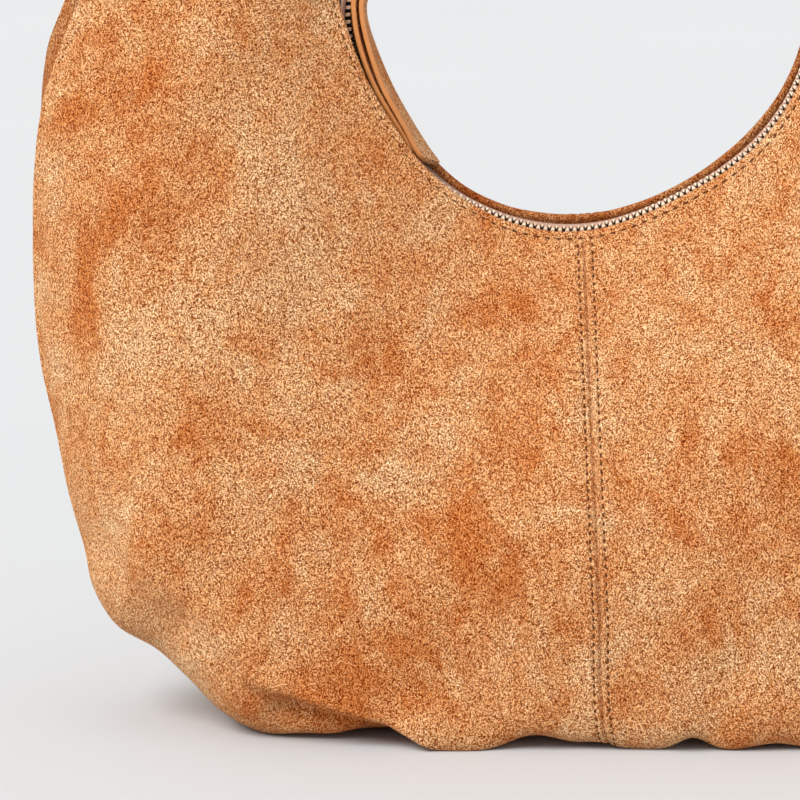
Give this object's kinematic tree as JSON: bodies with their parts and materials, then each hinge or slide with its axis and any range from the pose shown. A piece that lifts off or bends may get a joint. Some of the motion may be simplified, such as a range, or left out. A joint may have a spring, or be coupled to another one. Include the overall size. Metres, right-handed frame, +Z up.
{
  "type": "hobo bag",
  "caption": "Slouchy crescent hobo bag in tan suede with a scooped mouth, curved metal zip, long folded zip pull and an arched shoulder strap.",
  "frame": {"origin": "on the floor under the middle of the bag's bounding box, where the bag stands", "axes": "+Z up, +X across the bag to the viewer's right, -Y towards the front face"},
  "size_m": [0.4066, 0.116, 0.489],
  "materials": {
    "suede": "napped suede, warm tan",
    "pull_suede": "suede with smooth painted edges",
    "lining": "plain cotton twill, beige",
    "zip_tape": "woven tape, tan",
    "webbing": "woven webbing, hidden inside the strap",
    "zip_metal": "polished pale gold"
  },
  "bodies": {
    "bag": {"back_panel_left": "suede", "back_panel_right": "suede", "front_panel_left": "suede", "front_panel_right": "suede", "lining_back": "lining", "lining_front": "lining", "slip_pocket": "lining", "zip_bottom_stop": "zip_metal", "zip_end_tab_left": "suede", "zip_end_tab_right": "suede", "zip_tape_back": "zip_tape", "zip_tape_front": "zip_tape", "zip_teeth_back": "zip_metal", "zip_teeth_front": "zip_metal", "zip_top_stop_back": "zip_metal", "zip_top_stop_front": "zip_metal"},
    "slider": {"zip_slider": "zip_metal", "slider_bridge": "zip_metal"},
    "pull": {"pull_ring": "zip_metal", "pull_strip": "pull_suede"},
    "strap": {"strap_front": "suede", "strap_back": "suede", "strap_core": "webbing"}
  },
  "joints": [
    {"name": "zip_travel", "type": "hinge", "parent": "bag", "child": "slider", "pos_m": [0, 0, 0.27], "axis": [0, -1, 0], "range_deg": [0, 190]},
    {"name": "pull_swing", "type": "hinge", "parent": "slider", "child": "pull", "pos_m": [-0.0795, -0.00168, 0.27906], "axis": [-0.307, -0.9511, 0.035], "range_deg": [0, 105]},
    {"name": "strap_fold", "type": "hinge", "parent": "bag", "child": "strap", "pos_m": [0, 0, 0.3554], "axis": [1, 0, 0], "range_deg": [-120, 120]}
  ]
}
